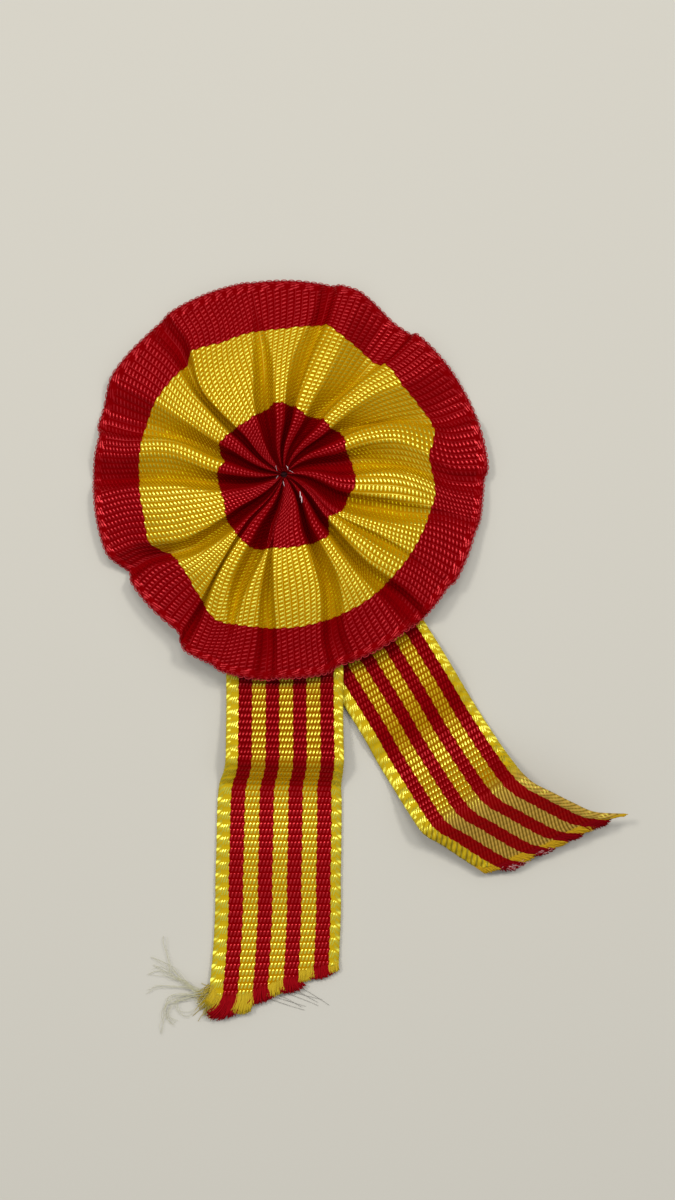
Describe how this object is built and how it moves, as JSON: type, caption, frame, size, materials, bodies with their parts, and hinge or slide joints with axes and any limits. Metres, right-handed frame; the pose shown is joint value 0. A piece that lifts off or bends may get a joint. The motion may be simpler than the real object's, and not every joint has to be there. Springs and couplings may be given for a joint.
{
  "type": "ribbon rosette brooch",
  "caption": "Round gathered ribbon rosette with a pinched centre and puffed pleats, trailing striped ribbon tails with oblique cut ends, and a plain closed pin behind.",
  "frame": {"origin": "on the surface the brooch lies on, which is the face of the cloth it would be pinned to, straight below the gathered centre of the rosette", "axes": "+Z out of the face of the rosette, +Y towards the top of the rosette and away from the tails, +X to the right as seen by who looks at it"},
  "size_m": [0.0729, 0.0995, 0.0085],
  "materials": {
    "rosette_cloth": "ribbed grosgrain ribbon, red edges with a yellow middle band",
    "tail_cloth": "ribbed ribbon with nine lengthwise stripes, yellow and red in turn",
    "pin_steel": "plain nickel-plated wire"
  },
  "bodies": {
    "root": {"rosette_ribbon": "rosette_cloth", "tail_left": "tail_cloth", "tail_right": "tail_cloth", "safety_pin": "pin_steel"}
  },
  "joints": []
}
